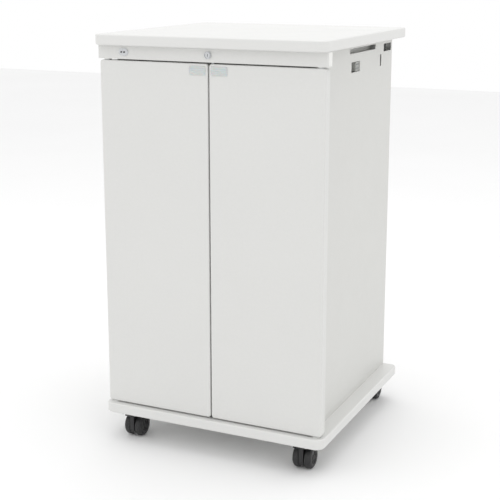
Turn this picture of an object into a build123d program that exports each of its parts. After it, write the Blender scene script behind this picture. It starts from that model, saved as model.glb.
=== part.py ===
"""Lockable two-door housekeeping cart: steel cabinet between two boards, on four twin-wheel castors.

Millimetres. +Z is up, the doors face -Y, +X is the cart's right-hand side as seen from the front.
The origin is on the floor, in the middle of the overall footprint with the castors trailing to the rear.
"""
import os
from math import cos, radians, sin

from build123d import *

# ---------------------------------------------------------------- driving sizes
# top and base boards
board_width = 520.0
board_depth = 511.0                 # of the top board
board_thickness = 22.0
board_front_corner = 20.0
board_rear_corner = 12.0
board_edge_round = 3.0
top_front_overhang = 20.0           # the boards stand in front of the door faces by these
base_front_overhang = 12.0

# doors
door_height = 758.0
door_side_inset = 6.0               # the doors' outer edges inside the boards' sides
door_thickness = 20.0
door_centre_gap = 3.0
door_end_gap = 3.0                  # above and below the doors
door_corner = 6.0
door_edge_round = 2.5
door_sheet = 1.0
door_back_sheet = 0.8
door_back_gap = 3.5                 # from the back of a closed door to the body
pivot_inset = 14.0                  # pivot axis from the door's outer edge

# front rail over the doors
rail_height = 29.0
rail_side_overlap = 5.0             # the rail is longer than the door pair by this at each end
rail_sheet = 1.2
rail_end_round = 4.0
cap_bush_gap = 1.0
cap_recess = 0.5                    # end caps inside the rail's ends

# steel body
side_recess = 27.0                  # from the doors' outer edges in to the body's sides
body_rear_inset = 1.0               # body back inside the boards' rear edge
side_thickness = 16.0
side_sheet = 1.2
liner_sheet = 0.8
side_fold_round = 2.0
back_sheet = 1.0
back_flange = 12.0
floor_sheet = 1.0
floor_upstand = 15.0
crossbar_height = 40.0
crossbar_depth = 16.0
crossbar_sheet = 1.2

# slotted head at the top of each side: its openings start so far behind the door faces, or end so far
# before the body's rear, and lie so far under the top board
head_height = 72.0
head_post = 4.0                     # square posts at the head's outer corners
long_slot_start = 206.0
long_slot_length = 165.0
long_slot_height = 10.5
long_slot_drop = 9.5
window_start = 216.0
window_length = 53.0
window_height = 21.5
window_drop = 38.0
upright_slot_rear_gap = 78.0
upright_slot_width = 8.5
upright_slot_height = 25.5
upright_slot_drop = 34.5
rear_slot_rear_gap = 9.0
rear_slot_length = 53.0
rear_slot_height = 17.0
rear_slot_drop = 12.5

# shelves and what carries them
standard_width = 20.0
standard_depth = 4.0
standard_sheet = 1.0
standard_end_gap = 30.0
standard_inset = 70.0               # standards from the body's front and rear
standard_slot_pitch = 25.0
standard_slot_width = 5.0
standard_slot_height = 10.0
shelf_sheet = 1.0
shelf_flange = 18.0
shelf_side_gap = 2.0
shelf_front_gap = 12.0
shelf_rear_gap = 4.0
shelf_heights = {"lower": 340.0, "upper": 590.0}
clip_reach = 14.0
clip_width = 14.0
clip_sheet = 2.0
clip_height = 22.0

# pivots
pin_diameter = 8.0
pin_clearance = 0.05                # radial running clearance of every pin and shaft
pin_reach = 11.0
bush_wall = 2.0
bush_length = 13.0
bush_flange_diameter = 16.0
bush_flange = 1.6
washer_diameter = 15.0
washer_thickness = 1.1
pivot_block = 16.0
pivot_block_height = 20.0
hole_clearance = 0.2                # radial, round pins that pass through sheet

# door fittings
pull_width = 36.0
pull_height = 18.5
pull_thickness = 1.5
pull_inset = 5.0
pull_corner = 2.0
strike_width = 30.0
strike_height = 14.0
strike_thickness = 1.2
catch_width = 40.0
catch_height = 14.0
catch_depth = 15.0
catch_offset = 60.0                 # middle of each closing catch from the cart's middle
rest_gap = 0.3                      # between parts that only meet when a door is shut
bumper_diameter = 10.0
bumper_margin = 36.0

# lock and bolt
lock_bezel_diameter = 15.0
lock_bezel_stand = 3.0
lock_bezel_round = 1.0
lock_barrel_diameter = 13.0
lock_barrel_length = 6.5
lock_plug_diameter = 9.0
lock_plug_recess = 0.4              # the plug's face inside the bezel's
lock_nut_size = 18.0
lock_nut_thickness = 2.5
lock_nut_chamfer = 4.5
keyway_width = 1.2
keyway_height = 5.5
keyway_depth = 4.0
crank_radius = 5.0
crank_pin_diameter = 3.0
crank_pin_length = 4.5
crank_rim = 0.5                     # of the crank's disc outside its pin
crank_thickness = 0.9
crank_gap = 0.1                     # between the lock's barrel and the crank's disc
crank_slot_play = 0.35              # above and below the crank pin in the bolt's slot
bolt_width = 20.0
bolt_thickness = 4.0
bolt_floor_gap = 0.4                # between the lowered bolt plate and the rail's floor
prong_width = 5.0
prong_offset = 6.5
prong_play = 0.8
guide_wall = 3.0
guide_front_wall = 1.0
guide_play = 0.3                    # of the bolt in its guide, and between the guide and the crank's disc

# small oval fitting at the rail's left end
badge_width = 22.0
badge_height = 15.5
badge_thickness = 1.5
badge_offset = 196.0                # from the cart's middle, to the left
badge_stud_diameter = 3.4
badge_stud_stand = 0.8

# hold-open catches and hook brackets inside the hollow sides
holder_length = 26.0
holder_margin = 1.0
holder_recess = 0.5
bracket_sheet = 1.5
bracket_margin = 2.5

# castors
wheel_diameter = 50.0
castor_headroom = 13.0              # from the top of the wheels to the base board
wheel_width = 15.5
wheel_shoulder_round = 7.0
wheel_inner_round = 4.0
wheel_cap_diameter = 26.0
wheel_cap_dish = 1.2
wheel_side_gap = 0.5
wheel_bore_depth = 13.0
castor_web = 10.0
castor_trail = 18.0
castor_inset_side = 55.0
castor_inset_front = 29.0
castor_inset_rear = 43.0
castor_plate = 42.0
castor_plate_thickness = 2.5
castor_plate_corner = 5.0
castor_screw_spacing = 30.0
castor_race_diameter = 26.0
castor_race_height = 2.0
castor_post_diameter = 6.0
castor_post_length = 22.5
castor_post_gap = 1.0               # under the swivel post's lower end
castor_boss_step = 1.0              # the boss's side inside the race's
fender_gap = 1.5
fender_thickness = 2.4
fender_start = 12.0                 # degrees above the horizontal, at the rear
fender_end = 128.0
fender_rib_reach = 6.0
web_floor_gap = 9.0
axle_diameter = 6.0
axle_end_gap = 0.5
swivel_gap = 0.3

# screws
screw_diameter = 4.0
screw_head_diameter = 8.0
screw_head_height = 2.0
board_screw_length = 16.0
castor_screw_length = 14.0
body_screw_inset = 40.0

# ---------------------------------------------------------------- heights and planes worked out from them
door_pair_width = board_width - 2 * door_side_inset
castor_height = wheel_diameter + castor_headroom
base_bottom = castor_height
base_top = base_bottom + board_thickness
door_bottom = base_top + door_end_gap
door_top = door_bottom + door_height
rail_bottom = door_top + door_end_gap
rail_top = rail_bottom + rail_height
top_bottom = rail_top
cart_height = top_bottom + board_thickness
head_bottom = top_bottom - head_height

wheel_radius = wheel_diameter / 2
fender_radius = wheel_radius + fender_gap + fender_thickness
race_bottom = castor_height - castor_plate_thickness - castor_race_height
castor_post_end = race_bottom - castor_post_length
castor_reach = max(0.0, castor_trail + fender_radius * cos(radians(fender_start)) - castor_inset_rear)
overall_depth = board_depth + castor_reach
board_front_y = -overall_depth / 2
board_rear_y = board_front_y + board_depth
door_face_y = board_front_y + top_front_overhang
base_front_y = door_face_y - base_front_overhang
door_back_y = door_face_y + door_thickness
door_middle_y = door_face_y + door_thickness / 2
body_front_y = door_back_y + door_back_gap
body_rear_y = board_rear_y - body_rear_inset

door_outer_x = door_pair_width / 2
door_inner_x = door_centre_gap / 2
pivot_x = door_outer_x - pivot_inset
body_side_x = door_outer_x - side_recess
liner_x = body_side_x - side_thickness
rail_end_x = door_outer_x + rail_side_overlap
rail_middle_z = rail_bottom + rail_height / 2

castor_x = board_width / 2 - castor_inset_side
castor_front_y = base_front_y + castor_inset_front
castor_rear_y = board_rear_y - castor_inset_rear

bush_diameter = pin_diameter + 2 * bush_wall
bush_hole = bush_diameter + 2 * pin_clearance
lock_hole = lock_barrel_diameter + 2 * pin_clearance
crank_drop = crank_radius * sin(radians(45))
crank_disc_radius = crank_radius + crank_rim + crank_pin_diameter / 2
guide_height = rail_height / 2 - rail_sheet - crank_disc_radius - guide_play
bolt_travel = 2 * crank_drop

os.makedirs("parts", exist_ok=True)
node_names = []


def save(name, shape):
    """Write one sub-part to its own file."""
    shape.label = name
    node_names.append(name)
    export_step(shape, f"parts/{name}.step")


def block(x0, x1, y0, y1, z0, z1):
    """A box between two corners."""
    centre = Pos((x0 + x1) / 2, (y0 + y1) / 2, (z0 + z1) / 2)
    return centre * Box(abs(x1 - x0), abs(y1 - y0), abs(z1 - z0))


def rod_z(diameter, x, y, z0, z1):
    """An upright cylinder."""
    return Pos(x, y, (z0 + z1) / 2) * Cylinder(diameter / 2, abs(z1 - z0))


def rod_y(diameter, x, y0, y1, z):
    """A cylinder that runs front to back."""
    return Pos(x, (y0 + y1) / 2, z) * Rot(90, 0, 0) * Cylinder(diameter / 2, abs(y1 - y0))


def rod_x(diameter, x0, x1, y, z):
    """A cylinder that runs left to right."""
    return Pos((x0 + x1) / 2, y, z) * Rot(0, 90, 0) * Cylinder(diameter / 2, abs(x1 - x0))


def mirrored(shape):
    """The same piece for the other side of the cart."""
    return mirror(shape, about=Plane.YZ)


def group(solids):
    """Several separate solids kept in one node."""
    return Compound(children=[piece.solid() for piece in solids])


def pairs(solids):
    """Pieces of the right-hand side together with the same ones on the left."""
    return group(solids + [mirrored(piece) for piece in solids])


def edges_along(shape, axis, test):
    """Straight edges along an axis whose middle passes a test."""
    return [edge for edge in shape.edges().filter_by(axis) if test(edge.center())]


# ---------------------------------------------------------------- boards
def screw_places():
    """Where the body's screws go into the boards, on each side."""
    rows = (body_front_y + body_screw_inset, body_rear_y - body_screw_inset)
    middle = (body_front_y + body_rear_y) / 2
    columns = (body_side_x - side_thickness / 2, -(body_side_x - side_thickness / 2))
    return [(x, y) for x in columns for y in (rows[0], middle, rows[1])]


def castor_places():
    """Name, x and y of each castor's swivel axis."""
    return [
        ("front_left", -castor_x, castor_front_y),
        ("front_right", castor_x, castor_front_y),
        ("rear_left", -castor_x, castor_rear_y),
        ("rear_right", castor_x, castor_rear_y),
    ]


def castor_screw_places():
    """Where the castors' screws go into the base board."""
    half = castor_screw_spacing / 2
    return [(x + dx, y + dy) for _, x, y in castor_places() for dx in (-half, half) for dy in (-half, half)]


def board(front_y, z0):
    """A board with rounded plan corners and softened edges."""
    slab = block(-board_width / 2, board_width / 2, front_y, board_rear_y, z0, z0 + board_thickness)
    middle_y = (front_y + board_rear_y) / 2
    slab = fillet(edges_along(slab, Axis.Z, lambda p: p.Y < middle_y), board_front_corner)
    slab = fillet(edges_along(slab, Axis.Z, lambda p: p.Y > board_rear_y - 1), board_rear_corner)
    rims = slab.faces().filter_by(Axis.Z).edges()
    return fillet(rims, board_edge_round)


def make_boards():
    top = board(board_front_y, top_bottom)
    base = board(base_front_y, base_bottom)
    screw_hole = screw_diameter + 2 * pin_clearance
    for x, y in screw_places():
        top -= rod_z(screw_hole, x, y, top_bottom, top_bottom + board_screw_length)
        base -= rod_z(screw_hole, x, y, base_top - board_screw_length, base_top)
    for x, y in castor_screw_places():
        base -= rod_z(screw_hole, x, y, base_bottom, base_bottom + castor_screw_length)
    for x in (-pivot_x, pivot_x):
        base -= rod_z(bush_hole, x, door_middle_y, base_top - bush_length, base_top)
    save("top_board", top)
    save("base_board", base)


# ---------------------------------------------------------------- steel body
def side_openings():
    """Start, end, bottom and top of each opening in a side."""
    long_start = door_face_y + long_slot_start
    window_y = door_face_y + window_start
    upright_end = body_rear_y - upright_slot_rear_gap
    rear_end = body_rear_y - rear_slot_rear_gap
    places = {
        "long_slot": (long_start, long_start + long_slot_length, long_slot_drop, long_slot_height),
        "window": (window_y, window_y + window_length, window_drop, window_height),
        "upright_slot": (
            upright_end - upright_slot_width, upright_end, upright_slot_drop, upright_slot_height,
        ),
        "rear_slot": (rear_end - rear_slot_length, rear_end, rear_slot_drop, rear_slot_height),
    }
    return {
        name: (start, end, top_bottom - drop - height, top_bottom - drop)
        for name, (start, end, drop, height) in places.items()
    }


def right_side_skin():
    """A folded steel tray under the slotted head, open towards the cabinet."""
    skin = block(liner_x, body_side_x, body_front_y, body_rear_y, base_top, head_bottom)
    skin = fillet(edges_along(skin, Axis.Z, lambda p: p.X > body_side_x - 1), side_fold_round)
    skin -= block(
        liner_x, body_side_x - side_sheet,
        body_front_y + side_sheet, body_rear_y - side_sheet,
        base_top + side_sheet, head_bottom,
    )
    for x, y in screw_places():
        if x > 0:
            skin -= rod_z(screw_diameter + 2 * hole_clearance, x, y, base_top, base_top + side_sheet)
    return skin


def right_side_head():
    """The slotted strip over the skin: flat sheet between the openings, on posts, walls and a top."""
    openings = sorted(side_openings().values())
    first, last = body_front_y + head_post, body_rear_y - head_post
    steps = sorted({first, last} | {y for opening in openings for y in opening[:2]})
    sheet_x = body_side_x - side_sheet
    sheet_top = top_bottom - side_sheet
    pieces = []
    for start, end in zip(steps, steps[1:]):
        level = head_bottom
        cuts = sorted(opening[2:] for opening in openings if opening[0] <= start and end <= opening[1])
        for low, high in cuts + [(sheet_top, sheet_top)]:
            pieces.append(block(sheet_x, body_side_x, start, end, level, low))
            level = high
    for wall, inner in ((body_front_y, first), (body_rear_y, last)):
        post = block(body_side_x - head_post, body_side_x, wall, inner, head_bottom, sheet_top)
        outer = edges_along(post, Axis.Z, lambda p: p.X > body_side_x - 1 and abs(p.Y - wall) < 1)
        pieces.append(fillet(outer, side_fold_round))
        thick = side_sheet if wall < inner else -side_sheet
        pieces.append(block(liner_x, body_side_x - head_post, wall, wall + thick, head_bottom, sheet_top))
    top = block(liner_x, body_side_x, body_front_y, body_rear_y, sheet_top, top_bottom)
    top = fillet(edges_along(top, Axis.Z, lambda p: p.X > body_side_x - 1), side_fold_round)
    for x, y in screw_places():
        if x > 0:
            top -= rod_z(screw_diameter + 2 * hole_clearance, x, y, sheet_top, top_bottom)
    return pieces + [top]


def right_side_liner():
    """The inner sheet that closes the hollow side."""
    return block(
        liner_x, liner_x + liner_sheet,
        body_front_y + side_sheet, body_rear_y - side_sheet,
        base_top + side_sheet, top_bottom - side_sheet,
    )


def back_panel():
    """A folded tray between the sides, its flanges turned forward."""
    panel = block(-liner_x, liner_x, body_rear_y - back_flange, body_rear_y, base_top, top_bottom)
    return panel - block(
        -liner_x + back_sheet, liner_x - back_sheet,
        body_rear_y - back_flange, body_rear_y - back_sheet,
        base_top + back_sheet, top_bottom - back_sheet,
    )


def cabinet_floor():
    """The cabinet's steel floor, turned up at the sides and the back."""
    rear = body_rear_y - back_flange
    tray = block(-liner_x, liner_x, body_front_y, rear, base_top, base_top + floor_upstand)
    return tray - block(
        -liner_x + floor_sheet, liner_x - floor_sheet,
        body_front_y, rear - floor_sheet,
        base_top + floor_sheet, base_top + floor_upstand,
    )


def front_crossbar():
    """The channel across the top of the cabinet's mouth, open to the rear."""
    bar = block(
        -liner_x, liner_x,
        body_front_y, body_front_y + crossbar_depth,
        top_bottom - crossbar_height, top_bottom,
    )
    return bar - block(
        -liner_x, liner_x,
        body_front_y + crossbar_sheet, body_front_y + crossbar_depth,
        top_bottom - crossbar_height + crossbar_sheet, top_bottom - crossbar_sheet,
    )


def make_body():
    skin = right_side_skin()
    head = right_side_head()
    save("side_skin_right", skin)
    save("side_skin_left", mirrored(skin))
    save("side_head_right", group(head))
    save("side_head_left", group([mirrored(piece) for piece in head]))
    save("side_liners", pairs([right_side_liner()]))
    save("back_panel", back_panel())
    save("cabinet_floor", cabinet_floor())
    save("front_crossbar", front_crossbar())


def make_body_screws():
    """Screws from the sides' folded flanges into the boards."""
    screws = []
    for x, y in screw_places():
        flange = base_top + side_sheet
        shank = rod_z(screw_diameter, x, y, flange - board_screw_length, flange)
        screws.append(shank + rod_z(screw_head_diameter, x, y, flange, flange + screw_head_height))
        flange = top_bottom - side_sheet
        shank = rod_z(screw_diameter, x, y, flange, flange + board_screw_length)
        screws.append(shank + rod_z(screw_head_diameter, x, y, flange - screw_head_height, flange))
    save("body_screws", group(screws))


# ---------------------------------------------------------------- shelves
def standard_places():
    """Middle y of the front and rear shelf standards."""
    return (body_front_y + standard_inset, body_rear_y - standard_inset)


def right_standards():
    """The two slotted channel strips on one side of the cabinet."""
    low = base_top + floor_upstand + standard_end_gap
    high = top_bottom - crossbar_height - standard_end_gap
    slot_count = int((high - low) // standard_slot_pitch)
    strips = []
    for y in standard_places():
        strip = block(
            liner_x - standard_depth, liner_x,
            y - standard_width / 2, y + standard_width / 2,
            low, high,
        )
        strip -= block(
            liner_x - standard_depth + standard_sheet, liner_x,
            y - standard_width / 2 + standard_sheet, y + standard_width / 2 - standard_sheet,
            low, high,
        )
        slots = []
        for i in range(slot_count):
            z = low + (i + 0.5) * standard_slot_pitch
            slots.append(block(
                liner_x - standard_depth, liner_x - standard_depth + standard_sheet,
                y - standard_slot_width / 2, y + standard_slot_width / 2,
                z - standard_slot_height / 2, z + standard_slot_height / 2,
            ))
        strips.append(strip - slots)
    return strips


def shelf(height):
    """A steel shelf with its front and rear edges turned down; height is its upper face."""
    half = liner_x - standard_depth - shelf_side_gap
    front = body_front_y + crossbar_depth + shelf_front_gap
    rear = body_rear_y - back_flange - shelf_rear_gap
    tray = block(-half, half, front, rear, height - shelf_flange, height)
    return tray - block(
        -half, half, front + shelf_sheet, rear - shelf_sheet, height - shelf_flange, height - shelf_sheet
    )


def right_clip(y, height):
    """An angle clip that hangs on a standard and holds the shelf's underside."""
    face = liner_x - standard_depth
    top = height - shelf_sheet
    leg = block(face - clip_sheet, face, y - clip_width / 2, y + clip_width / 2, top - clip_height, top)
    ledge = block(face - clip_reach, face, y - clip_width / 2, y + clip_width / 2, top - clip_sheet, top)
    return leg + ledge


def make_shelves():
    strips = right_standards()
    save("shelf_standards", pairs(strips))
    clips = []
    for name, height in shelf_heights.items():
        save(f"shelf_{name}", shelf(height))
        clips += [right_clip(y, height) for y in standard_places()]
    save("shelf_clips", pairs(clips))


# ---------------------------------------------------------------- front rail
def make_rail():
    """A steel box rail over the doors, with plastic caps in its ends."""
    rail = block(-rail_end_x, rail_end_x, door_face_y, door_back_y, rail_bottom, rail_top)
    rail = fillet(edges_along(rail, Axis.Z, lambda p: p.Y < door_middle_y), rail_end_round)
    rail -= block(
        -rail_end_x, rail_end_x,
        door_face_y + rail_sheet, door_back_y - rail_sheet,
        rail_bottom + rail_sheet, rail_top - rail_sheet,
    )
    for x in (-pivot_x, pivot_x):
        rail -= rod_z(bush_hole, x, door_middle_y, rail_bottom, rail_bottom + rail_sheet)
    rail -= rod_y(lock_hole, 0, door_face_y, door_face_y + rail_sheet, rail_middle_z)
    for side in (-1, 1):
        x = side * prong_offset
        rail -= block(
            x - prong_width / 2 - guide_play, x + prong_width / 2 + guide_play,
            door_middle_y - bolt_thickness / 2 - guide_play, door_middle_y + bolt_thickness / 2 + guide_play,
            rail_bottom, rail_bottom + rail_sheet,
        )
    save("front_rail", rail)

    cap_inner_x = pivot_x + bush_hole / 2 + cap_bush_gap
    cap_outer_x = rail_end_x - cap_recess
    cap = block(
        cap_inner_x, cap_outer_x,
        door_face_y + rail_sheet, door_back_y - rail_sheet,
        rail_bottom + rail_sheet, rail_top - rail_sheet,
    )
    outer = edges_along(cap, Axis.Z, lambda p: p.X > (cap_inner_x + cap_outer_x) / 2 and p.Y < door_middle_y)
    cap = fillet(outer, rail_end_round - rail_sheet)
    save("rail_end_caps", pairs([cap]))


# ---------------------------------------------------------------- doors
def right_door_skin():
    """The door's folded steel tray, open to the rear."""
    skin = block(door_inner_x, door_outer_x, door_face_y, door_back_y, door_bottom, door_top)
    skin = fillet(skin.edges().filter_by(Axis.Y), door_corner)
    front = skin.faces().sort_by(Axis.Y)[0]
    skin = fillet(front.edges(), door_edge_round)
    hollow = block(
        door_inner_x + door_sheet, door_outer_x - door_sheet,
        door_face_y + door_sheet, door_back_y,
        door_bottom + door_sheet, door_top - door_sheet,
    )
    skin -= fillet(hollow.edges().filter_by(Axis.Y), door_corner - door_sheet)
    hole = pin_diameter + 2 * hole_clearance
    skin -= rod_z(hole, pivot_x, door_middle_y, door_bottom, door_bottom + door_sheet)
    skin -= rod_z(hole, pivot_x, door_middle_y, door_top - door_sheet, door_top)
    skin -= block(
        prong_offset - prong_width / 2 - prong_play, prong_offset + prong_width / 2 + prong_play,
        door_middle_y - bolt_thickness / 2 - prong_play, door_middle_y + bolt_thickness / 2 + prong_play,
        door_top - door_corner, door_top,
    )
    return skin


def right_door_back():
    """The sheet that closes the back of the door."""
    sheet = block(
        door_inner_x + door_sheet, door_outer_x - door_sheet,
        door_back_y - door_back_sheet, door_back_y,
        door_bottom + door_sheet, door_top - door_sheet,
    )
    return fillet(sheet.edges().filter_by(Axis.Y), door_corner - door_sheet)


def right_door_pivots():
    """Upper and lower pivot pins on their blocks, each with a loose washer outside the door."""
    half = pivot_block / 2
    solids = []
    for inner, outward in ((door_top - door_sheet, 1), (door_bottom + door_sheet, -1)):
        door_end = inner + outward * door_sheet
        seat = door_end + outward * door_end_gap
        pin = block(
            pivot_x - half, pivot_x + half,
            door_face_y + door_sheet, door_back_y - door_back_sheet,
            inner - outward * pivot_block_height, inner,
        )
        pin += rod_z(pin_diameter, pivot_x, door_middle_y, inner, seat + outward * pin_reach)
        washer_end = door_end + outward * washer_thickness
        washer = rod_z(washer_diameter, pivot_x, door_middle_y, door_end, washer_end)
        washer -= rod_z(pin_diameter + 2 * pin_clearance, pivot_x, door_middle_y, door_end, washer_end)
        solids += [pin, washer]
    return solids


def right_door_pull():
    """The small plate at the door's upper inner corner, by which it is pulled open."""
    x0 = door_inner_x + pull_inset
    z1 = door_top - pull_inset
    plate = block(x0, x0 + pull_width, door_face_y - pull_thickness, door_face_y, z1 - pull_height, z1)
    return fillet(plate.edges().filter_by(Axis.Y), pull_corner)


def catch_middle_z():
    """Middle height of the closing catches, which hang under the crossbar."""
    return top_bottom - crossbar_height - catch_height / 2


def right_door_strike():
    """The steel plate on the door's back that the closing catch holds."""
    z = catch_middle_z()
    plate = block(
        catch_offset - strike_width / 2, catch_offset + strike_width / 2,
        door_back_y, door_back_y + strike_thickness,
        z - strike_height / 2, z + strike_height / 2,
    )
    return fillet(plate.edges().filter_by(Axis.Y), pull_corner)


def make_doors():
    for part_name, right in (
        ("skin", right_door_skin()),
        ("back", right_door_back()),
        ("pull", right_door_pull()),
        ("strike", right_door_strike()),
    ):
        save(f"door_right_{part_name}", right)
        save(f"door_left_{part_name}", mirrored(right))
    pivots = right_door_pivots()
    save("door_right_pivots", group(pivots))
    save("door_left_pivots", group([mirrored(piece) for piece in pivots]))


def make_pivot_bushes():
    """Flanged nylon bushes in the rail and in the base board."""
    bushes = []
    bore = pin_diameter + 2 * pin_clearance
    for x in (-pivot_x, pivot_x):
        for seat, inward in ((rail_bottom, 1), (base_top, -1)):
            bush = rod_z(bush_diameter, x, door_middle_y, seat, seat + inward * bush_length)
            bush += rod_z(bush_flange_diameter, x, door_middle_y, seat - inward * bush_flange, seat)
            bush -= rod_z(bore, x, door_middle_y, seat - inward * bush_flange, seat + inward * bush_length)
            bushes.append(bush)
    save("pivot_bushes", group(bushes))


def make_catches():
    """Closing catches under the crossbar, hold-open catches in the side windows, and rubber bumpers."""
    z = catch_middle_z()
    pole_face = door_back_y + strike_thickness + rest_gap
    catch = block(
        catch_offset - catch_width / 2, catch_offset + catch_width / 2,
        pole_face, pole_face + catch_depth,
        z - catch_height / 2, z + catch_height / 2,
    )
    catch = fillet(edges_along(catch, Axis.Z, lambda p: p.Y > pole_face + 1), pull_corner)
    save("door_catches", pairs([catch]))

    _, window_end, window_bottom, window_top = side_openings()["window"]
    holder = block(
        liner_x + liner_sheet, body_side_x - holder_recess,
        window_end - holder_length, window_end - holder_margin,
        window_bottom + holder_margin, window_top - holder_margin,
    )
    holder = fillet(edges_along(holder, Axis.Z, lambda p: p.X > body_side_x - 2), holder_margin * 2)
    save("door_holders", pairs([holder]))

    bumpers = []
    x = body_side_x - side_thickness / 2
    for side in (-1, 1):
        for height in (door_bottom + bumper_margin, door_top - bumper_margin - catch_height):
            bumpers.append(rod_y(bumper_diameter, side * x, door_back_y + rest_gap, body_front_y, height))
    save("door_bumpers", group(bumpers))


def make_hook_brackets():
    """Angle brackets in the hollow sides, behind the rear slots, for a hook to sit on."""
    slot_start, slot_end, slot_bottom, slot_top = side_openings()["rear_slot"]
    y0, y1 = slot_start - bracket_margin, slot_end + bracket_margin
    inner = liner_x + liner_sheet
    leg = block(inner, inner + bracket_sheet, y0, y1, slot_bottom - bracket_margin, slot_top)
    ledge = block(
        inner, body_side_x - side_sheet, y0, y1, slot_bottom - bracket_margin - bracket_sheet,
        slot_bottom - bracket_margin,
    )
    save("hook_brackets", pairs([leg + ledge]))


# ---------------------------------------------------------------- lock and bolt
def make_lock():
    """A key lock in the rail; its crank drops a two-pronged bolt into the tops of both doors."""
    z = rail_middle_z
    barrel_end = door_face_y + lock_barrel_length
    plug_end = barrel_end + crank_gap + crank_thickness
    bore = lock_plug_diameter + 2 * pin_clearance

    bezel = rod_y(lock_bezel_diameter, 0, door_face_y - lock_bezel_stand, door_face_y, z)
    bezel = fillet(bezel.edges().sort_by(Axis.Y)[0], lock_bezel_round)
    housing = bezel + rod_y(lock_barrel_diameter, 0, door_face_y, barrel_end, z)
    housing -= rod_y(bore, 0, door_face_y - lock_bezel_stand, barrel_end, z)
    save("lock_housing", housing)

    nut_front = door_face_y + rail_sheet
    nut = block(
        -lock_nut_size / 2, lock_nut_size / 2, nut_front, nut_front + lock_nut_thickness,
        z - lock_nut_size / 2, z + lock_nut_size / 2,
    )
    nut = chamfer(nut.edges().filter_by(Axis.Y), lock_nut_chamfer)
    nut -= rod_y(lock_hole, 0, nut_front, nut_front + lock_nut_thickness, z)
    save("lock_nut", nut)

    plug = rod_y(lock_plug_diameter, 0, door_face_y - lock_bezel_stand + lock_plug_recess, plug_end, z)
    plug -= block(
        -keyway_width / 2, keyway_width / 2,
        door_face_y - lock_bezel_stand, door_face_y - lock_bezel_stand + keyway_depth,
        z - keyway_height / 2, z + keyway_height / 2,
    )
    plug += rod_y(2 * crank_disc_radius, 0, barrel_end + crank_gap, plug_end, z)
    plug += rod_y(crank_pin_diameter, crank_drop, plug_end, plug_end + crank_pin_length, z + crank_drop)
    save("lock_plug", plug)

    bolt_front = door_middle_y - bolt_thickness / 2
    bolt_rear = door_middle_y + bolt_thickness / 2
    slot_middle = z + crank_drop
    plate_top = slot_middle + crank_pin_diameter
    plate_bottom = rail_bottom + rail_sheet + bolt_floor_gap + bolt_travel
    bolt = block(-bolt_width / 2, bolt_width / 2, bolt_front, bolt_rear, plate_bottom, plate_top)
    slot_half = crank_pin_diameter / 2 + crank_slot_play
    bolt -= block(
        crank_drop - slot_half - crank_slot_play, crank_radius + slot_half + crank_slot_play,
        bolt_front, bolt_rear, slot_middle - slot_half, slot_middle + slot_half,
    )
    for side, tip in ((-1, rail_bottom), (1, door_top + rest_gap)):
        x = side * prong_offset
        bolt += block(x - prong_width / 2, x + prong_width / 2, bolt_front, bolt_rear, tip, plate_bottom)
    save("lock_bolt", bolt)

    guide_bottom = rail_bottom + rail_sheet
    guide = block(
        -bolt_width / 2 - guide_wall, bolt_width / 2 + guide_wall,
        bolt_front - guide_play - guide_front_wall, door_back_y - rail_sheet,
        guide_bottom, guide_bottom + guide_height,
    )
    guide -= block(
        -bolt_width / 2 - guide_play, bolt_width / 2 + guide_play,
        bolt_front - guide_play, bolt_rear + guide_play,
        guide_bottom, guide_bottom + guide_height,
    )
    save("bolt_guide", guide)


def make_badge():
    """A small oval fitting on the rail with two dark studs."""
    z = rail_middle_z
    straight = (badge_width - badge_height) / 2
    y0, y1 = door_face_y - badge_thickness, door_face_y
    plate = block(-straight, straight, y0, y1, z - badge_height / 2, z + badge_height / 2)
    plate += rod_y(badge_height, -straight, y0, y1, z) + rod_y(badge_height, straight, y0, y1, z)
    studs = []
    for dx in (-straight - badge_stud_diameter / 2, badge_stud_diameter / 2):
        stud = rod_y(badge_stud_diameter, dx, y0 - badge_stud_stand, y0, z)
        studs.append(Pos(-badge_offset, 0, 0) * stud)
    save("rail_badge", Pos(-badge_offset, 0, 0) * plate)
    save("rail_badge_studs", group(studs))


# ---------------------------------------------------------------- castors
def castor_plate_piece():
    """Mounting plate with its swivel post, about the castor's own axis."""
    top = base_bottom
    low = top - castor_plate_thickness
    half = castor_plate / 2
    plate = block(-half, half, -half, half, low, top)
    plate = fillet(plate.edges().filter_by(Axis.Z), castor_plate_corner)
    spacing = castor_screw_spacing / 2
    for x in (-spacing, spacing):
        for y in (-spacing, spacing):
            plate -= rod_z(screw_diameter + 2 * hole_clearance, x, y, low, top)
    plate += rod_z(castor_race_diameter, 0, 0, race_bottom, low)
    plate += rod_z(castor_post_diameter, 0, 0, castor_post_end, race_bottom)
    return plate


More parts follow.
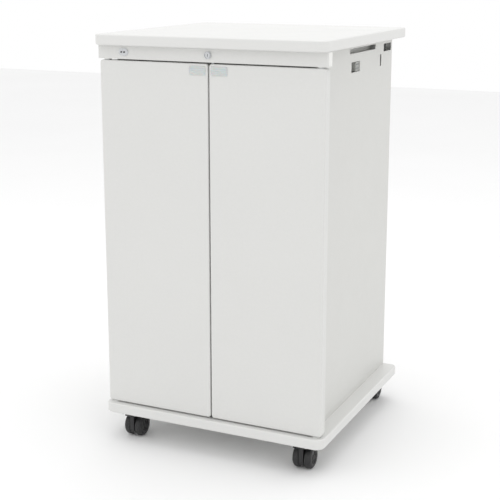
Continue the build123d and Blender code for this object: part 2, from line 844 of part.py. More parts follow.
def castor_hood():
    """Nylon body: the web between the wheels, a fender over them and the swivel boss."""
    boss_top = race_bottom - swivel_gap
    inner = wheel_radius + fender_gap
    outer = fender_radius
    half_width = castor_web / 2 + wheel_side_gap + wheel_width + wheel_side_gap

    web = rod_x(2 * (wheel_radius - fender_gap), -castor_web / 2, castor_web / 2, castor_trail, wheel_radius)
    web -= block(
        -castor_web, castor_web,
        castor_trail - wheel_radius, castor_trail + wheel_radius,
        0, web_floor_gap,
    )
    web += block(
        -castor_web / 2, castor_web / 2, -castor_post_diameter, castor_trail,
        wheel_radius - castor_post_diameter, boss_top,
    )

    middle = (fender_start + fender_end) / 2
    with BuildSketch(Plane.YZ) as profile:
        with BuildLine():
            CenterArc((castor_trail, wheel_radius), outer, fender_start, fender_end - fender_start)
            CenterArc((castor_trail, wheel_radius), inner, fender_start, fender_end - fender_start)
            for angle in (fender_start, fender_end):
                direction = (cos(radians(angle)), sin(radians(angle)))
                Line(
                    (castor_trail + inner * direction[0], wheel_radius + inner * direction[1]),
                    (castor_trail + outer * direction[0], wheel_radius + outer * direction[1]),
                )
        make_face()
    fender = extrude(profile.sketch, half_width, both=True)
    rib_end = castor_trail + inner * cos(radians(middle)) + fender_rib_reach
    rib = block(
        -castor_web / 2, castor_web / 2, castor_trail, rib_end,
        wheel_diameter - castor_post_diameter, wheel_diameter + fender_gap + fender_thickness / 2,
    )
    boss = rod_z(castor_race_diameter - 2 * castor_boss_step, 0, 0, wheel_diameter + fender_gap, boss_top)
    hood = web + fender + rib + boss
    post_bore = castor_post_diameter + 2 * pin_clearance
    hood -= rod_z(post_bore, 0, 0, castor_post_end - castor_post_gap, boss_top)
    hood -= rod_x(axle_diameter + 2 * pin_clearance, -castor_web, castor_web, castor_trail, wheel_radius)
    return hood


def castor_wheel(side):
    """One barrel-edged wheel beside the web; side is -1 for left, +1 for right."""
    start = castor_web / 2 + wheel_side_gap
    end = start + wheel_width
    wheel = rod_x(wheel_diameter, start, end, 0, 0)
    rims = wheel.edges().filter_by(GeomType.CIRCLE).sort_by(Axis.X)
    wheel = fillet(rims[-1], wheel_shoulder_round)
    wheel = fillet(wheel.edges().filter_by(GeomType.CIRCLE).sort_by(Axis.X)[0], wheel_inner_round)
    wheel -= rod_x(wheel_cap_diameter, end - wheel_cap_dish, end, 0, 0)
    bore = axle_diameter + 2 * pin_clearance
    wheel -= rod_x(bore, start, start + wheel_bore_depth, 0, 0)
    if side < 0:
        wheel = mirrored(wheel)
    return Pos(0, castor_trail, wheel_radius) * wheel


def make_castors():
    plate = castor_plate_piece()
    hood = castor_hood()
    axle_half = castor_web / 2 + wheel_side_gap + wheel_bore_depth - axle_end_gap
    axle = rod_x(axle_diameter, -axle_half, axle_half, castor_trail, wheel_radius)
    for name, x, y in castor_places():
        place = Pos(x, y, 0)
        save(f"castor_plate_{name}", place * plate)
        save(f"castor_hood_{name}", place * hood)
        save(f"castor_axle_{name}", place * axle)
        save(f"castor_wheel_{name}_l", place * castor_wheel(-1))
        save(f"castor_wheel_{name}_r", place * castor_wheel(1))
    screws = []
    low = base_bottom - castor_plate_thickness
    for x, y in castor_screw_places():
        shank = rod_z(screw_diameter, x, y, low, low + castor_screw_length)
        screws.append(shank + rod_z(screw_head_diameter, x, y, low - screw_head_height, low))
    save("castor_screws", group(screws))


make_boards()
make_body()
make_body_screws()
make_shelves()
make_rail()
make_doors()
make_pivot_bushes()
make_catches()
make_hook_brackets()
make_lock()
make_badge()
make_castors()
size_text = f"height {cart_height:.0f}, width {board_width:.0f}, depth {overall_depth:.0f} mm"
print(len(node_names), "nodes,", size_text)
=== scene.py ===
"""Finishes a lockable two-door housekeeping cart: paint, mouldings, lock, catches and castor wheels.

Metres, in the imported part's own frame: +Z up, the doors face -Y, the floor is at zero.
"""
from math import pi, radians, tau

import bmesh
import bpy
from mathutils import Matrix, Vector


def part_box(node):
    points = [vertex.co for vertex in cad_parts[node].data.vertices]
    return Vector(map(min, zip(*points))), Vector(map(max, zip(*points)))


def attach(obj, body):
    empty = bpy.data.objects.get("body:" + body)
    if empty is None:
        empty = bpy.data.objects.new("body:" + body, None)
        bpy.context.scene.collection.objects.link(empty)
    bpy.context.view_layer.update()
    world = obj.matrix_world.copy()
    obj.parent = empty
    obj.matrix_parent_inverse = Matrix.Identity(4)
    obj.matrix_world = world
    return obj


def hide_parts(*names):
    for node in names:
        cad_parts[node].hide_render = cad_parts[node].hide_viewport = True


bl_info = {
    "name": "Housekeeping Cart",
    "version": (1, 0, 0),
    "blender": (4, 5, 0),
    "location": "View3D > Sidebar > Cart",
    "description": "Builds the finishes and fittings of a lockable two-door housekeeping cart",
    "category": "Object",
}

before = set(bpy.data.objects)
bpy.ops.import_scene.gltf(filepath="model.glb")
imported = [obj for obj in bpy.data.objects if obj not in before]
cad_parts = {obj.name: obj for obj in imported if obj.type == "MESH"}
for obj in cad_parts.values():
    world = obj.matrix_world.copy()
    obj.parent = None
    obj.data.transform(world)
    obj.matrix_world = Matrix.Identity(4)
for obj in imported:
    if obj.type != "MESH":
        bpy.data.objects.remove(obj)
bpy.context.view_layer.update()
MM = 0.001
SIDES = ("left", "right")
CASTORS = ("front_left", "front_right", "rear_left", "rear_right")


# ---------------------------------------------------------------- small helpers
def linear(code):
    """An sRGB hex colour as three linear numbers."""
    parts = [int(code[i:i + 2], 16) / 255 for i in (1, 3, 5)]
    return tuple(c / 12.92 if c <= 0.04045 else ((c + 0.055) / 1.055) ** 2.4 for c in parts)


def shade(colour, amount=1.0):
    """A colour multiplied by an amount, with full alpha."""
    return tuple(min(1.0, c * amount) for c in colour[:3]) + (1.0,)


def per_mm(size):
    """The texture scale whose features are about this many millimetres across."""
    return 1.0 / (size * MM)


# ---------------------------------------------------------------- sizes and colours
class CartSizes(bpy.types.PropertyGroup):
    """Sizes of the fittings that are modelled here."""

    pull_rib: bpy.props.FloatProperty(
        name="Pull rib", description="Height of the grip ribs on the door pulls",
        default=0.3 * MM, min=0.0, unit="LENGTH")
    lock_bore: bpy.props.FloatProperty(
        name="Lock bore", description="Radius of the hole that the key plug turns in",
        default=4.55 * MM, min=0.0, unit="LENGTH")
    wheel_shoulder: bpy.props.FloatProperty(
        name="Wheel shoulder", description="Rounding at a wheel's outer face",
        default=7.0 * MM, min=0.0, unit="LENGTH")
    wheel_inner: bpy.props.FloatProperty(
        name="Wheel inner round", description="Rounding at a wheel's inner face",
        default=4.0 * MM, min=0.0, unit="LENGTH")
    hub_recess: bpy.props.FloatProperty(
        name="Hub recess", description="Depth of the dished hub in each wheel's outer face",
        default=1.6 * MM, min=0.0, unit="LENGTH")
    bumper_radius: bpy.props.FloatProperty(
        name="Bumper radius", description="Radius of the rubber door bumpers",
        default=5.0 * MM, min=0.0, unit="LENGTH")


class CartColours(bpy.types.PropertyGroup):
    """Colours of the cart's finishes."""

    board: bpy.props.FloatVectorProperty(
        name="Boards", description="Lacquer on the top and base boards",
        subtype="COLOR", default=linear("#DBDBD9"), min=0.0, max=1.0)
    doors: bpy.props.FloatVectorProperty(
        name="Doors", description="Powder coat on the doors and the rail",
        subtype="COLOR", default=linear("#DBDBD9"), min=0.0, max=1.0)
    # painted shade: the body's coat is set a little darker than the doors' same coat, standing in for the sides'
    # lower light
    body: bpy.props.FloatVectorProperty(
        name="Body", description="Powder coat on the sides, back and shelves",
        subtype="COLOR", default=linear("#D4D4D1"), min=0.0, max=1.0)
    castors: bpy.props.FloatVectorProperty(
        name="Castors", description="Moulded nylon of the castors",
        subtype="COLOR", default=linear("#1E1E1F"), min=0.0, max=1.0)
    pulls: bpy.props.FloatVectorProperty(
        name="Pulls", description="Moulded plastic of the door pulls",
        subtype="COLOR", default=linear("#CDD0CF"), min=0.0, max=1.0)


# ---------------------------------------------------------------- materials
def add_node(tree, kind, settings=None, inputs=None, output=None):
    """Adds a node with its settings, sets or links its inputs, and gives the output to use."""
    made = tree.nodes.new(kind)
    for name, value in (settings or {}).items():
        setattr(made, name, value)
    for name, value in (inputs or {}).items():
        socket = next(s for s in made.inputs if s.enabled and s.name == name)
        if isinstance(value, bpy.types.NodeSocket):
            tree.links.new(value, socket)
        else:
            socket.default_value = value
    live = [s for s in made.outputs if s.enabled and output in (None, s.name)]
    return live[0] if live else None


def start_material(name):
    """An empty material's tree."""
    material = bpy.data.materials.new(name)
    material.use_nodes = True
    material.node_tree.nodes.clear()
    return material.node_tree


def lacquered_board(colours):
    """Lacquered board: sprayed, rubbed and sprayed again, so it has a soft, slightly wavy sheen."""
    tree = start_material("lacquered_board")
    place = add_node(tree, "ShaderNodeTexCoord", output="Object")
    cloud = add_node(tree, "ShaderNodeTexNoise", inputs={"Vector": place, "Scale": per_mm(160), "Detail": 3.0})
    tone = add_node(tree, "ShaderNodeMix", {"data_type": "RGBA"}, {
        "Factor": cloud, "A": shade(colours.board, 0.975), "B": shade(colours.board)})
    # handling leaves faint rubbed patches a hand's width across
    rubbed = add_node(tree, "ShaderNodeTexNoise", inputs={"Vector": place, "Scale": per_mm(70), "Detail": 4.0})
    rough = add_node(tree, "ShaderNodeMapRange", inputs={"Value": rubbed, "To Min": 0.32, "To Max": 0.52})
    peel = add_node(tree, "ShaderNodeTexNoise", inputs={"Vector": place, "Scale": per_mm(6)})
    normal = add_node(tree, "ShaderNodeBump", inputs={"Height": peel, "Distance": 0.05 * MM, "Strength": 0.35})
    shader = add_node(tree, "ShaderNodeBsdfPrincipled", inputs={
        "Base Color": tone, "Roughness": rough, "Normal": normal, "Coat Weight": 0.25, "Coat Roughness": 0.22})
    add_node(tree, "ShaderNodeOutputMaterial", inputs={"Surface": shader})


def powder_coat(name, colour):
    """Powder-coated steel: baked paint with a fine orange-peel texture and an even, low sheen."""
    tree = start_material(name)
    place = add_node(tree, "ShaderNodeTexCoord", output="Object")
    cloud = add_node(tree, "ShaderNodeTexNoise", inputs={"Vector": place, "Scale": per_mm(220), "Detail": 3.0})
    tone = add_node(tree, "ShaderNodeMix", {"data_type": "RGBA"}, {
        "Factor": cloud, "A": shade(colour, 0.972), "B": shade(colour)})
    # the coat's grain catches a little shade of its own
    grain = add_node(tree, "ShaderNodeTexNoise", inputs={"Vector": place, "Scale": per_mm(6.4)})
    grained = add_node(tree, "ShaderNodeMix", {"data_type": "RGBA", "blend_type": "MULTIPLY"}, {
        "Factor": grain, "A": tone, "B": (0.965, 0.965, 0.96, 1.0)})
    patchy = add_node(tree, "ShaderNodeTexNoise", inputs={"Vector": place, "Scale": per_mm(45), "Detail": 4.0})
    rough = add_node(tree, "ShaderNodeMapRange", inputs={"Value": patchy, "To Min": 0.38, "To Max": 0.56})
    # panels are rolled sheet, so they are never quite flat
    waves = add_node(tree, "ShaderNodeTexNoise", inputs={"Vector": place, "Scale": per_mm(180), "Detail": 1.0})
    wavy = add_node(tree, "ShaderNodeBump", inputs={"Height": waves, "Distance": 0.35 * MM, "Strength": 0.25})
    peel = add_node(tree, "ShaderNodeTexNoise", inputs={"Vector": place, "Scale": per_mm(1.6)})
    normal = add_node(tree, "ShaderNodeBump", inputs={
        "Height": peel, "Distance": 0.03 * MM, "Strength": 0.5, "Normal": wavy})
    shader = add_node(tree, "ShaderNodeBsdfPrincipled", inputs={
        "Base Color": grained, "Roughness": rough, "Normal": normal, "Coat Weight": 0.08, "Coat Roughness": 0.35})
    add_node(tree, "ShaderNodeOutputMaterial", inputs={"Surface": shader})


def plated_metal(name, colour, blotch_mm, low, high):
    """Plated or ground metal: bright, faintly blotched, with the fine lines of its last polishing."""
    tree = start_material(name)
    place = add_node(tree, "ShaderNodeTexCoord", output="Object")
    blotch = add_node(tree, "ShaderNodeTexNoise", inputs={
        "Vector": place, "Scale": per_mm(blotch_mm), "Detail": 3.0})
    tone = add_node(tree, "ShaderNodeMix", {"data_type": "RGBA"}, {
        "Factor": blotch, "A": shade(colour, 0.88), "B": shade(colour)})
    drawn = add_node(tree, "ShaderNodeMapping", inputs={"Vector": place, "Scale": (1.0, 1.0, 0.04)})
    lines = add_node(tree, "ShaderNodeTexNoise", inputs={"Vector": drawn, "Scale": per_mm(0.8)})
    rough = add_node(tree, "ShaderNodeMapRange", inputs={"Value": lines, "To Min": low, "To Max": high})
    normal = add_node(tree, "ShaderNodeBump", inputs={"Height": lines, "Distance": 0.006 * MM, "Strength": 0.6})
    shader = add_node(tree, "ShaderNodeBsdfPrincipled", inputs={
        "Base Color": tone, "Roughness": rough, "Normal": normal, "Metallic": 1.0})
    add_node(tree, "ShaderNodeOutputMaterial", inputs={"Surface": shader})


def moulded(name, colour, rough_middle, grain_mm):
    """Injection-moulded plastic: an even colour with the spark-eroded grain of its mould."""
    tree = start_material(name)
    place = add_node(tree, "ShaderNodeTexCoord", output="Object")
    cloud = add_node(tree, "ShaderNodeTexNoise", inputs={"Vector": place, "Scale": per_mm(30), "Detail": 3.0})
    tone = add_node(tree, "ShaderNodeMix", {"data_type": "RGBA"}, {
        "Factor": cloud, "A": shade(colour, 0.9), "B": shade(colour, 1.08)})
    grain = add_node(tree, "ShaderNodeTexNoise", inputs={"Vector": place, "Scale": per_mm(grain_mm), "Detail": 3.0})
    rough = add_node(tree, "ShaderNodeMapRange", inputs={
        "Value": grain, "To Min": rough_middle - 0.1, "To Max": rough_middle + 0.12})
    normal = add_node(tree, "ShaderNodeBump", inputs={"Height": grain, "Distance": 0.02 * MM, "Strength": 0.6})
    shader = add_node(tree, "ShaderNodeBsdfPrincipled", inputs={
        "Base Color": tone, "Roughness": rough, "Normal": normal, "IOR": 1.53})
    add_node(tree, "ShaderNodeOutputMaterial", inputs={"Surface": shader})


def frosted_acrylic(colours):
    """Frosted acrylic: milky, with light spreading just under its surface."""
    tree = start_material("frosted_acrylic")
    place = add_node(tree, "ShaderNodeTexCoord", output="Object")
    cloud = add_node(tree, "ShaderNodeTexNoise", inputs={"Vector": place, "Scale": per_mm(8), "Detail": 3.0})
    tone = add_node(tree, "ShaderNodeMix", {"data_type": "RGBA"}, {
        "Factor": cloud, "A": shade(colours.pulls, 0.94), "B": shade(colours.pulls)})
    frost = add_node(tree, "ShaderNodeTexNoise", inputs={"Vector": place, "Scale": per_mm(0.9), "Detail": 3.0})
    rough = add_node(tree, "ShaderNodeMapRange", inputs={"Value": frost, "To Min": 0.34, "To Max": 0.56})
    normal = add_node(tree, "ShaderNodeBump", inputs={"Height": frost, "Distance": 0.015 * MM, "Strength": 0.6})
    shader = add_node(tree, "ShaderNodeBsdfPrincipled", inputs={
        "Base Color": tone, "Roughness": rough, "Normal": normal, "IOR": 1.49,
        "Subsurface Weight": 0.25, "Subsurface Scale": 2.0 * MM})
    add_node(tree, "ShaderNodeOutputMaterial", inputs={"Surface": shader})


def polyurethane_tread(colours):
    """Hard polyurethane: nearly black, rubbed grey where it has rolled."""
    tree = start_material("polyurethane_tread")
    place = add_node(tree, "ShaderNodeTexCoord", output="Object")
    scuff = add_node(tree, "ShaderNodeTexNoise", inputs={"Vector": place, "Scale": per_mm(2.5), "Detail": 4.0})
    worn = add_node(tree, "ShaderNodeMapRange", inputs={"Value": scuff, "From Min": 0.5, "From Max": 0.85})
    tone = add_node(tree, "ShaderNodeMix", {"data_type": "RGBA"}, {
        "Factor": worn, "A": shade(colours.castors), "B": shade(linear("#3E3E3D"))})
    rough = add_node(tree, "ShaderNodeMapRange", inputs={"Value": scuff, "To Min": 0.36, "To Max": 0.62})
    normal = add_node(tree, "ShaderNodeBump", inputs={"Height": scuff, "Distance": 0.02 * MM, "Strength": 0.5})
    shader = add_node(tree, "ShaderNodeBsdfPrincipled", inputs={
        "Base Color": tone, "Roughness": rough, "Normal": normal})
    add_node(tree, "ShaderNodeOutputMaterial", inputs={"Surface": shader})


def studio_paint():
    """Matt floor paint: nearly white, with only enough variation to look real."""
    tree = start_material("painted_studio_floor")
    place = add_node(tree, "ShaderNodeTexCoord", output="Object")
    cloud = add_node(tree, "ShaderNodeTexNoise", inputs={"Vector": place, "Scale": per_mm(900), "Detail": 3.0})
    tone = add_node(tree, "ShaderNodeMix", {"data_type": "RGBA"}, {
        "Factor": cloud, "A": shade(linear("#F3F3F3")), "B": shade(linear("#F7F7F7"))})
    shader = add_node(tree, "ShaderNodeBsdfPrincipled", inputs={"Base Color": tone, "Roughness": 0.85})
    add_node(tree, "ShaderNodeOutputMaterial", inputs={"Surface": shader})


# ---------------------------------------------------------------- modelling
def deselect():
    bpy.ops.object.select_all(action="DESELECT")


def pick(piece, kind, test):
    """Opens a piece for editing with the vertices, edges or faces selected that pass a test."""
    bpy.context.view_layer.objects.active = piece
    bpy.ops.object.mode_set(mode="EDIT")
    bpy.ops.mesh.select_mode(type=kind)
    bpy.ops.mesh.select_all(action="DESELECT")
    shape = bmesh.from_edit_mesh(piece.data)
    for item in {"VERT": shape.verts, "EDGE": shape.edges, "FACE": shape.faces}[kind]:
        if test(item):
            item.select_set(True)
    shape.select_flush_mode()
    bmesh.update_edit_mesh(piece.data)


def close():
    bpy.ops.object.mode_set(mode="OBJECT")


def add_block(name, low, high):
    """A box between two corners, ready to shape."""
    deselect()
    bpy.ops.mesh.primitive_cube_add(
        size=1.0, location=(Vector(low) + Vector(high)) / 2, scale=Vector(high) - Vector(low))
    piece = bpy.context.object
    piece.name = name
    bpy.ops.object.transform_apply(location=True, rotation=True, scale=True)
    return piece


def add_round(name, radius, depth, axis, sides=64, location=(0, 0, 0), turn=0.0):
    """A cylinder along X or Y, turned about its own axis, ready to shape."""
    deselect()
    rotation = {"X": (turn, pi / 2, 0), "Y": (pi / 2, turn, 0)}[axis]
    bpy.ops.mesh.primitive_cylinder_add(
        vertices=sides, radius=radius, depth=depth, rotation=rotation, location=location)
    piece = bpy.context.object
    piece.name = name
    bpy.ops.object.transform_apply(location=True, rotation=True, scale=True)
    return piece


def round_edges(piece, width, segments=3):
    """Rounds a piece's sharp edges."""
    bevel = piece.modifiers.new("round", "BEVEL")
    bevel.width = width
    bevel.segments = segments
    bevel.limit_method = "ANGLE"
    bevel.angle_limit = radians(40)
    deselect()
    piece.select_set(True)
    bpy.context.view_layer.objects.active = piece
    bpy.ops.object.modifier_apply(modifier=bevel.name)


def copy_of(piece, name, shift=(0, 0, 0), mirrored=False):
    """Another one of a piece, with its own mesh, mirrored across the cart if wanted, then moved."""
    deselect()
    piece.select_set(True)
    bpy.context.view_layer.objects.active = piece
    bpy.ops.object.duplicate(linked=False)
    made = bpy.context.object
    made.name = name
    made.scale.x = -1.0 if mirrored else 1.0
    made.location = shift
    bpy.ops.object.transform_apply(location=True, rotation=True, scale=True)
    return made


def join_all(pieces, name):
    """Several pieces of one body as one object."""
    deselect()
    for piece in pieces:
        piece.select_set(True)
    bpy.context.view_layer.objects.active = pieces[0]
    bpy.ops.object.join()
    bpy.context.object.name = name
    return bpy.context.object


def finish_piece(piece, body, material=None, replaced=()):
    """Cleans and smooths a finished piece, gives it its finish and lets it ride its body."""
    deselect()
    piece.select_set(True)
    pick(piece, "FACE", lambda face: True)
    bpy.ops.mesh.remove_doubles(threshold=0.001 * MM)
    bpy.ops.mesh.normals_make_consistent(inside=False)
    close()
    bpy.ops.object.shade_smooth_by_angle(angle=radians(38))
    if material:
        piece.data.materials.clear()
        piece.data.materials.append(bpy.data.materials[material])
    piece.data.name = piece.name
    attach(piece, body)
    if replaced:
        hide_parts(*replaced)


def coat(nodes, material):
    """Gives CAD nodes their finish."""
    for node in nodes:
        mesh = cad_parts[node].data
        mesh.materials.clear()
        mesh.materials.append(bpy.data.materials[material])


# ---------------------------------------------------------------- operators
class CART_OT_finishes(bpy.types.Operator):
    """Make the paints, platings and moulded plastics"""
    bl_idname = "cart.finishes"
    bl_label = "Finishes"

    def execute(self, context):
        colours = context.scene.cart_colours
        lacquered_board(colours)
        powder_coat("powder_coated_doors", colours.doors)
        # a darker copy of the doors' coat: painted shade on the sides, back and shelves
        powder_coat("powder_coated_body", colours.body)
        plated_metal("zinc_plated_steel", linear("#B9BBBD"), 9, 0.24, 0.44)
        plated_metal("ground_steel_poles", linear("#8F9194"), 5, 0.24, 0.44)
        plated_metal("chrome_plated_casting", linear("#D2D4D6"), 3, 0.06, 0.2)
        moulded("moulded_black_nylon", colours.castors, 0.42, 0.8)
        moulded("moulded_hub_nylon", shade(colours.castors, 1.3), 0.36, 0.8)
        moulded("moulded_white_nylon", linear("#E9E9E6"), 0.45, 1.0)
        moulded("moulded_grey_plastic", linear("#A9AAA6"), 0.48, 0.9)
        moulded("moulded_grey_rubber", linear("#6A6A69"), 0.72, 1.1)
        moulded("black_oxide_stud", linear("#242424"), 0.3, 0.6)
        frosted_acrylic(colours)
        polyurethane_tread(colours)
        studio_paint()
        return {"FINISHED"}


class CART_OT_boards(bpy.types.Operator):
    """Finish the top and base boards"""
    bl_idname = "cart.boards"
    bl_label = "Boards"

    def execute(self, context):
        coat(("top_board", "base_board"), "lacquered_board")
        return {"FINISHED"}


class CART_OT_body(bpy.types.Operator):
    """Finish the steel body, the shelves and what carries them"""
    bl_idname = "cart.body"
    bl_label = "Steel body"

    def execute(self, context):
        coat(("back_panel", "cabinet_floor", "front_crossbar", "shelf_lower", "shelf_upper", "side_liners"),
             "powder_coated_body")
        coat([f"side_{part}_{side}" for part in ("skin", "head") for side in SIDES], "powder_coated_body")
        coat(("shelf_standards", "shelf_clips", "hook_brackets", "body_screws"), "zinc_plated_steel")
        coat(("front_rail",), "powder_coated_doors")
        coat(("rail_end_caps", "pivot_bushes"), "moulded_white_nylon")
        return {"FINISHED"}


class CART_OT_doors(bpy.types.Operator):
    """Finish the doors and their pivots"""
    bl_idname = "cart.doors"
    bl_label = "Doors"

    def execute(self, context):
        for side in SIDES:
            coat((f"door_{side}_skin", f"door_{side}_back"), "powder_coated_doors")
            coat((f"door_{side}_pivots",), "zinc_plated_steel")
            coat((f"door_{side}_strike",), "ground_steel_poles")
        return {"FINISHED"}


class CART_OT_pulls(bpy.types.Operator):
    """Model the frosted pulls at the doors' inner corners"""
    bl_idname = "cart.pulls"
    bl_label = "Door pulls"

    def execute(self, context):
        rib_height = context.scene.cart_sizes.pull_rib
        low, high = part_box("door_right_pull")
        sunk = (high.y - low.y) * 0.35
        plate = add_block("door_pull_right", low, high)
        pick(plate, "EDGE", lambda e: abs((e.verts[0].co - e.verts[1].co).normalized().y) > 0.9)
        bpy.ops.mesh.bevel(offset=2.0 * MM, segments=5, affect="EDGES")
        close()
        pick(plate, "FACE", lambda f: f.normal.y < -0.9)
        bpy.ops.mesh.inset(thickness=1.6 * MM, depth=0.0)
        bpy.ops.mesh.inset(thickness=0.35 * MM, depth=-sunk)
        close()
        round_edges(plate, 0.25 * MM, 2)
        ribs = []
        for share in (0.25, 0.5, 0.75):
            z = low.z + (high.z - low.z) * share
            rib = add_block("rib", (low.x + 4 * MM, low.y + sunk - rib_height, z - 0.6 * MM),
                            (high.x - 4 * MM, low.y + sunk + 0.2 * MM, z + 0.6 * MM))
            round_edges(rib, 0.2 * MM, 2)
            ribs.append(rib)
        right = join_all([plate] + ribs, "door_pull_right")
        left = copy_of(right, "door_pull_left", mirrored=True)
        for piece, side in ((right, "right"), (left, "left")):
            finish_piece(piece, f"door_{side}", "frosted_acrylic", [f"door_{side}_pull"])
        return {"FINISHED"}


class CART_OT_lock(bpy.types.Operator):
    """Model the key lock's bezel and finish its plug, nut, bolt and guide"""
    bl_idname = "cart.lock"
    bl_label = "Lock"

    def execute(self, context):
        bore = context.scene.cart_sizes.lock_bore
        low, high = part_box("lock_housing")
        centre = (low + high) / 2
        radius = (high.x - low.x) / 2
        rail_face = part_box("front_rail")[0].y
        stand = rail_face - low.y
        flange = add_round("lock_bezel", radius, stand, "Y", 72, (centre.x, low.y + stand / 2, centre.z))
        # stepped inward: an outer flange, a cove, and a raised ring round the plug
        pick(flange, "FACE", lambda f: f.normal.y < -0.9)
        for share, depth in ((0.25, 0.0), (0.08, -0.35), (0.2, 0.0), (0.08, 0.3), (0.39, 0.0)):
            bpy.ops.mesh.inset(thickness=(radius - bore) * share, depth=depth * stand)
        close()
        pick(flange, "FACE", lambda f: f.normal.y > 0.9)
        bpy.ops.mesh.inset(thickness=radius - bore)
        close()
        sleeve = radius - 1.0 * MM
        barrel = add_round("barrel", sleeve, high.y - rail_face, "Y", 72,
                           (centre.x, (rail_face + high.y) / 2, centre.z))
        pick(barrel, "FACE", lambda f: abs(f.normal.y) > 0.9)
        bpy.ops.mesh.inset(thickness=sleeve - bore)
        close()
        for piece in (flange, barrel):
            pick(piece, "FACE", lambda f: len(f.verts) > 8)
            bpy.ops.mesh.bridge_edge_loops()
            close()
        bezel = join_all([flange, barrel], "lock_bezel")
        finish_piece(bezel, "cabinet", "chrome_plated_casting", ["lock_housing"])
        coat(("lock_plug",), "chrome_plated_casting")
        coat(("lock_nut", "lock_bolt"), "zinc_plated_steel")
        coat(("bolt_guide",), "moulded_white_nylon")
        return {"FINISHED"}


class CART_OT_badge(bpy.types.Operator):
    """Model the small oval fitting at the rail's left end"""
    bl_idname = "cart.badge"
    bl_label = "Oval fitting"

    def execute(self, context):
        low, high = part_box("rail_badge")
        centre = (low + high) / 2
        half_height = (high.z - low.z) / 2
        straight = (high.x - low.x) / 2 - half_height
        sides = 72
        plate = add_round("rail_badge_plate", half_height, high.y - low.y, "Y", sides, centre, tau / sides / 2)
        # two half circles, drawn apart
        for sign in (-1, 1):
            pick(plate, "VERT", lambda v: (v.co.x - centre.x) * sign > 0)
            bpy.ops.transform.translate(value=(sign * straight, 0, 0))
            close()
        pick(plate, "FACE", lambda f: f.normal.y < -0.9)
        bpy.ops.mesh.inset(thickness=1.1 * MM, depth=0.0)
        bpy.ops.mesh.inset(thickness=0.4 * MM, depth=-0.35 * MM)
        close()
        round_edges(plate, 0.2 * MM)
        finish_piece(plate, "cabinet", "chrome_plated_casting", ["rail_badge"])
        coat(("rail_badge_studs",), "black_oxide_stud")
        return {"FINISHED"}


class CART_OT_catches(bpy.types.Operator):
    """Model the magnetic catches, the hold-open catches and the bumpers"""
    bl_idname = "cart.catches"
    bl_label = "Catches and bumpers"

    def magnet_case(self, name, low, high, facing, sign):
        """A recessed case and its two steel poles, facing along an axis."""
        index = "xyz".index(facing)
        case = add_block(name, low, high)
        pick(case, "FACE", lambda f: f.normal[index] * sign > 0.9)
        bpy.ops.mesh.inset(thickness=1.6 * MM, depth=0.0)
        bpy.ops.mesh.inset(thickness=0.2 * MM, depth=-1.2 * MM)
        close()
        round_edges(case, 0.5 * MM)
        other = 1 - index
        face = high[index] if sign > 0 else low[index]
        inner = face - sign * 2.4 * MM
        poles = []
        for share in (0.3, 0.7):
            z = low[2] + (high[2] - low[2]) * share
            start, end = Vector(low), Vector(high)
            start.z, end.z = z - 0.8 * MM, z + 0.8 * MM
            start[other], end[other] = low[other] + 2.4 * MM, high[other] - 2.4 * MM
            start[index], end[index] = min(face, inner), max(face, inner)
            pole = add_block(f"{name}_pole", start, end)
            round_edges(pole, 0.2 * MM, 2)
            poles.append(pole)
        return case, join_all(poles, f"{name}_poles")

    def execute(self, context):
        radius = context.scene.cart_sizes.bumper_radius
        low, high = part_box("door_catches")
        closing = self.magnet_case("closing_catch", (40 * MM, low.y, low.z), high, "y", -1)
        low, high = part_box("door_holders")
        holder_start = (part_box("side_liners")[1].x, low.y, low.z)
        holding = self.magnet_case("hold_open_catch", holder_start, high, "x", 1)
        for (case, poles), node in ((closing, "door_catches"), (holding, "door_holders")):
            for piece in (case, copy_of(case, f"{case.name}_left", mirrored=True)):
                finish_piece(piece, "cabinet", "moulded_grey_plastic", [node])
            for piece in (poles, copy_of(poles, f"{poles.name}_left", mirrored=True)):
                finish_piece(piece, "cabinet", "ground_steel_poles")

        low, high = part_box("door_bumpers")
        depth = high.y - low.y
        bumper = add_round("bumper", radius, depth, "Y", 32)
        pick(bumper, "FACE", lambda f: f.normal.y < -0.9)
        bpy.ops.mesh.inset(thickness=radius * 0.55, depth=0.0)
        bpy.ops.mesh.inset(thickness=radius * 0.12, depth=-depth * 0.3)
        close()
        round_edges(bumper, 0.5 * MM)
        placed = [copy_of(bumper, "bumper_copy", (x, (low.y + high.y) / 2, z))
                  for x in (low.x + radius, high.x - radius)
                  for z in (low.z + radius, high.z - radius)]
        bpy.data.objects.remove(bumper)
        finish_piece(join_all(placed, "rubber_bumpers"), "cabinet",
                     "moulded_grey_rubber", ["door_bumpers"])
        return {"FINISHED"}


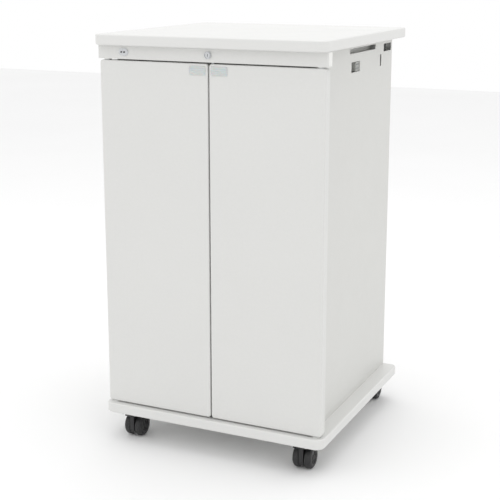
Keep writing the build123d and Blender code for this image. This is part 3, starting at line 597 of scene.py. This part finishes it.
class CART_OT_wheels(bpy.types.Operator):
    """Model the castors' wheels, with their hubs, and finish the castors"""
    bl_idname = "cart.wheels"
    bl_label = "Castors"

    def wheel_shape(self, sizes, radius, width):
        """The right-hand wheel of a pair, centred on its axle, with its hub towards +X."""
        outer = width / 2
        hair = 0.01 * MM
        wheel = add_round("wheel", radius, width, "X", 72)
        for sign, rounding, steps in ((1, sizes.wheel_shoulder, 8), (-1, sizes.wheel_inner, 5)):
            pick(wheel, "EDGE", lambda e: all(v.co.x * sign > outer - hair for v in e.verts))
            bpy.ops.mesh.bevel(offset=rounding, segments=steps, affect="EDGES")
            close()
        # the hub: a dished face, ribs, and a raised cap
        pick(wheel, "FACE", lambda f: f.normal.x > 0.99 and len(f.verts) > 8)
        for thickness, depth in ((4.0, 0.0), (0.8, -1.0), (8.0, 0.0), (0.4, 0.75), (1.6, 0.0), (0.3, -0.2)):
            bpy.ops.mesh.inset(thickness=thickness * MM, depth=depth * sizes.hub_recess)
        close()
        dish = outer - sizes.hub_recess

        def on_rib(face):
            """Two of each twelve faces round the dish."""
            spot = face.calc_center_median()
            off_axle = Vector((spot.y, spot.z))
            if abs(spot.x - dish) > 0.05 * MM or not 7 * MM < off_axle.length < 13 * MM:
                return False
            return (off_axle.angle_signed(Vector((1, 0))) / tau * 6 + 100) % 1 < 0.17

        pick(wheel, "FACE", on_rib)
        bpy.ops.mesh.extrude_region_shrink_fatten(
            TRANSFORM_OT_shrink_fatten={"value": sizes.hub_recess * 0.6})
        close()
        return wheel

    def execute(self, context):
        sizes = context.scene.cart_sizes
        low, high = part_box("castor_wheel_front_right_r")
        radius = (high.z - low.z) / 2
        shape = self.wheel_shape(sizes, radius, high.x - low.x)
        for finish in ("polyurethane_tread", "moulded_hub_nylon"):
            shape.data.materials.append(bpy.data.materials[finish])
        for face in shape.data.polygons:
            off_axle = Vector((face.center.y, face.center.z)).length
            face.material_index = 1 if off_axle < radius - sizes.wheel_shoulder else 0
        for castor in CASTORS:
            for hand in "lr":
                node = f"castor_wheel_{castor}_{hand}"
                low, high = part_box(node)
                wheel = copy_of(shape, f"wheel_{castor}_{hand}_tyre", (low + high) / 2, hand == "l")
                finish_piece(wheel, f"wheel_{castor}_{hand}", None, [node])
        bpy.data.objects.remove(shape)
        coat([f"castor_hood_{castor}" for castor in CASTORS], "moulded_black_nylon")
        coat([f"castor_{part}_{castor}" for part in ("axle", "plate") for castor in CASTORS],
             "zinc_plated_steel")
        coat(("castor_screws",), "zinc_plated_steel")
        return {"FINISHED"}


class CART_OT_stage(bpy.types.Operator):
    """Set the floor, the lights and the camera"""
    bl_idname = "cart.stage"
    bl_label = "Stage"

    def soft_light(self, name, spot, size, power):
        """A square soft box that faces the middle of the cart."""
        towards = Vector((0, 0, 0.5)) - Vector(spot)
        bpy.ops.object.light_add(type="AREA", location=spot, rotation=towards.to_track_quat("-Z", "Y").to_euler())
        lamp = bpy.context.object
        lamp.name = name
        lamp.data.size = size
        lamp.data.energy = power

    def execute(self, context):
        deselect()
        bpy.ops.mesh.primitive_plane_add(size=14.0)
        floor = context.object
        floor.name = "studio_floor"
        floor.data.materials.append(bpy.data.materials["painted_studio_floor"])

        world = bpy.data.worlds.new("studio")
        context.scene.world = world
        world.use_nodes = True
        backdrop = world.node_tree.nodes["Background"]
        backdrop.inputs["Color"].default_value = (1.0, 1.0, 1.0, 1.0)
        backdrop.inputs["Strength"].default_value = 1.0
        self.soft_light("key", (-1.6, -2.6, 2.6), 2.2, 8)
        self.soft_light("fill", (2.8, -1.0, 1.6), 2.4, 3)
        self.soft_light("top", (0.2, 0.3, 3.4), 2.6, 22)

        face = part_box("door_right_skin")[0].y
        yaw, pitch = radians(24.84), radians(12.93)
        bpy.ops.object.camera_add(location=(1.0306, face - 2.0263, 1.0468), rotation=(pi / 2 - pitch, 0, yaw))
        camera = context.object
        camera.data.sensor_width = 36.0
        camera.data.lens = 81.14
        camera.data.shift_y = -0.06
        context.scene.camera = camera
        context.scene.view_settings.view_transform = "Standard"
        return {"FINISHED"}


class CART_PT_panel(bpy.types.Panel):
    """Cart tools in the sidebar"""
    bl_idname = "CART_PT_panel"
    bl_label = "Housekeeping Cart"
    bl_space_type = "VIEW_3D"
    bl_region_type = "UI"
    bl_category = "Cart"

    def draw(self, context):
        for group in (context.scene.cart_sizes, context.scene.cart_colours):
            for name in group.__annotations__:
                self.layout.prop(group, name)
        for operator in OPERATORS:
            self.layout.operator(operator.bl_idname)


OPERATORS = (
    CART_OT_finishes, CART_OT_boards, CART_OT_body, CART_OT_doors, CART_OT_pulls,
    CART_OT_lock, CART_OT_badge, CART_OT_catches, CART_OT_wheels, CART_OT_stage,
)
CLASSES = (CartSizes, CartColours) + OPERATORS + (CART_PT_panel,)


def register():
    for each in CLASSES:
        bpy.utils.register_class(each)
    bpy.types.Scene.cart_sizes = bpy.props.PointerProperty(type=CartSizes)
    bpy.types.Scene.cart_colours = bpy.props.PointerProperty(type=CartColours)


def unregister():
    del bpy.types.Scene.cart_colours
    del bpy.types.Scene.cart_sizes
    for each in reversed(CLASSES):
        bpy.utils.unregister_class(each)


def main():
    register()
    bpy.ops.cart.finishes()
    bpy.ops.cart.boards()
    bpy.ops.cart.body()
    bpy.ops.cart.doors()
    bpy.ops.cart.pulls()
    bpy.ops.cart.lock()
    bpy.ops.cart.badge()
    bpy.ops.cart.catches()
    bpy.ops.cart.wheels()
    bpy.ops.cart.stage()
    bpy.context.view_layer.update()


if __name__ == "__main__":
    main()
